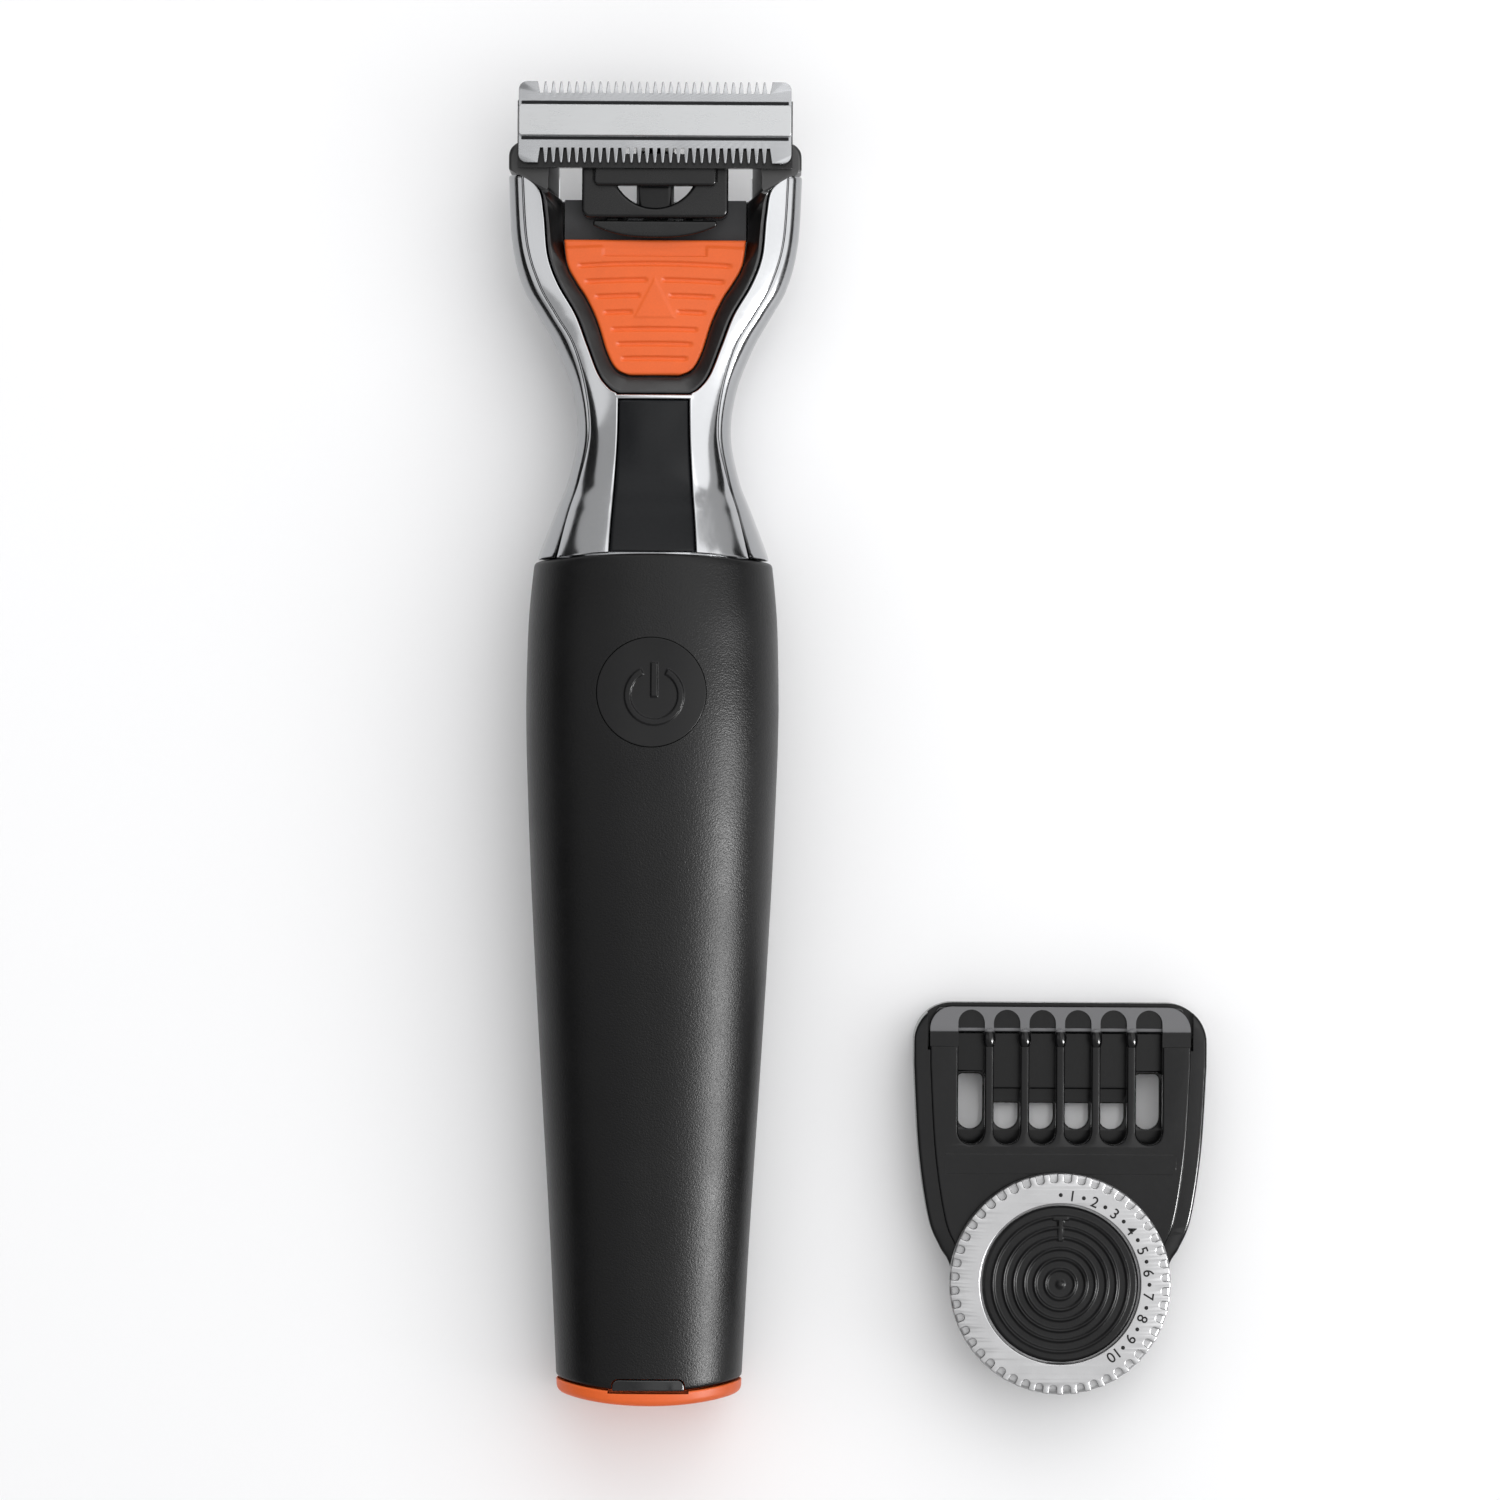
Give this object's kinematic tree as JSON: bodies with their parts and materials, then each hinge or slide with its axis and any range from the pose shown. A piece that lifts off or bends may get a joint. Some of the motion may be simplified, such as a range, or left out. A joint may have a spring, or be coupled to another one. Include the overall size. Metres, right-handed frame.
{
  "type": "beard trimmer",
  "caption": "Cordless beard trimmer with a double-edged blade head on a forked chrome neck, and an adjustable dial comb lying beside its handle.",
  "frame": {"origin": "the middle of the flat back of the handle, on the handle's middle line", "axes": "+Y along the handle towards the blade, +Z out of the front face, +X to the comb's side"},
  "size_m": [0.0909, 0.1696, 0.0267],
  "materials": {
    "soft_black": "fine-grained soft-touch",
    "gloss_black": "polished",
    "satin_black": "satin moulded",
    "dark_grey": "fine matte",
    "chrome": "bright plated",
    "orange": "satin moulded",
    "steel": "fine ground",
    "satin_silver": "satin silver",
    "smoked_window": "smoked, polished",
    "brass": "plain",
    "board_green": "solder mask",
    "cell_blue": "shrink film",
    "white_plastic": "plain moulded",
    "clear_white": "clear"
  },
  "bodies": {
    "handle": {"handle_sleeve": "soft_black", "charge_window": "smoked_window", "base_cap": "orange", "charging_socket": "satin_black", "charging_pin": "brass", "charge_board": "board_green", "charge_led": "clear_white", "charge_lead_left": "soft_black", "charge_lead_right": "soft_black", "battery": "cell_blue", "battery_contact_rear": "steel", "battery_contact_front": "steel", "chassis": "satin_black", "motor_can": "steel", "motor_screw_left": "steel", "motor_screw_right": "steel", "motor_lead_left": "soft_black", "motor_lead_right": "soft_black", "motor_end_cap": "white_plastic", "control_board": "board_green", "tact_switch": "satin_black", "button_seal": "soft_black", "neck_rear_shell": "chrome", "neck_front_trim": "chrome", "neck_inlay_strip": "satin_black", "lever_pivot_pin": "steel", "yoke_bezel": "satin_black", "bezel_screw_left": "steel", "bezel_screw_right": "steel", "bay_panel": "dark_grey", "head_turret": "satin_black", "release_spring": "steel"},
    "power_button": {"power_button": "satin_black"},
    "release": {"release_slider": "orange"},
    "head": {"head_bracket": "satin_black", "pivot_pin_left": "steel", "pivot_pin_right": "steel"},
    "head_tilt": {"blade_carrier": "satin_black", "fixed_blade": "steel", "blade_band": "steel", "cutter_spring_left": "steel", "cutter_spring_right": "steel"},
    "cutter": {"cutter": "steel", "cutter_drive_block": "white_plastic"},
    "drive_lever": {"drive_lever": "satin_black"},
    "motor_rotor": {"motor_shaft": "steel", "eccentric": "white_plastic"},
    "comb": {"comb_frame": "gloss_black", "comb_axle_pin": "steel", "comb_dial_cap": "soft_black"},
    "comb_dial": {"comb_dial_ring": "satin_silver", "comb_pinion": "white_plastic"},
    "comb_guard": {"comb_guard": "gloss_black", "comb_rack": "gloss_black"}
  },
  "joints": [
    {"name": "power_button_press", "type": "slide", "parent": "handle", "child": "power_button", "axis": [0, 0, -1], "range_m": [0, 0.0006], "stiffness_N_per_m": 2500},
    {"name": "release_slide", "type": "slide", "parent": "handle", "child": "release", "axis": [0, 1, 0], "range_m": [0, 0.0015], "stiffness_N_per_m": 1500},
    {"name": "head_eject", "type": "slide", "parent": "handle", "child": "head", "axis": [0, 1, 0], "range_m": [0, 0.0075]},
    {"name": "head_pivot", "type": "hinge", "parent": "head", "child": "head_tilt", "pos_m": [0, 0.1028, 0.0152], "axis": [1, 0, 0], "range_deg": [-6, 6], "stiffness_Nm_per_rad": 0.2},
    {"name": "drive_lever_swing", "type": "hinge", "parent": "handle", "child": "drive_lever", "pos_m": [0, 0.068, 0.009], "axis": [0, 0, 1], "range_deg": [-1.6, 1.6]},
    {"name": "cutter_slide", "type": "slide", "parent": "head_tilt", "child": "cutter", "axis": [1, 0, 0], "range_m": [-0.00102, 0.00102]},
    {"name": "motor_spin", "type": "hinge", "parent": "handle", "child": "motor_rotor", "pos_m": [0, 0.045, 0.012], "axis": [0, 1, 0], "continuous": true},
    {"name": "comb_lift", "type": "slide", "parent": "handle", "child": "comb", "axis": [0, 0, 1], "range_m": [0, 0.04]},
    {"name": "comb_dial_turn", "type": "hinge", "parent": "comb", "child": "comb_dial", "pos_m": [0.053, -0.04435, 0.011], "axis": [0, 0, 1], "range_deg": [0, 142.5]},
    {"name": "comb_guard_slide", "type": "slide", "parent": "comb", "child": "comb_guard", "axis": [0, 1, 0], "range_m": [0, 0.00498]}
  ],
  "couplings": [
    {"joint": "cutter_slide", "follows": "drive_lever_swing", "m_per_rad": -0.0348},
    {"joint": "comb_guard_slide", "follows": "comb_dial_turn", "m_per_rad": 0.002}
  ]
}
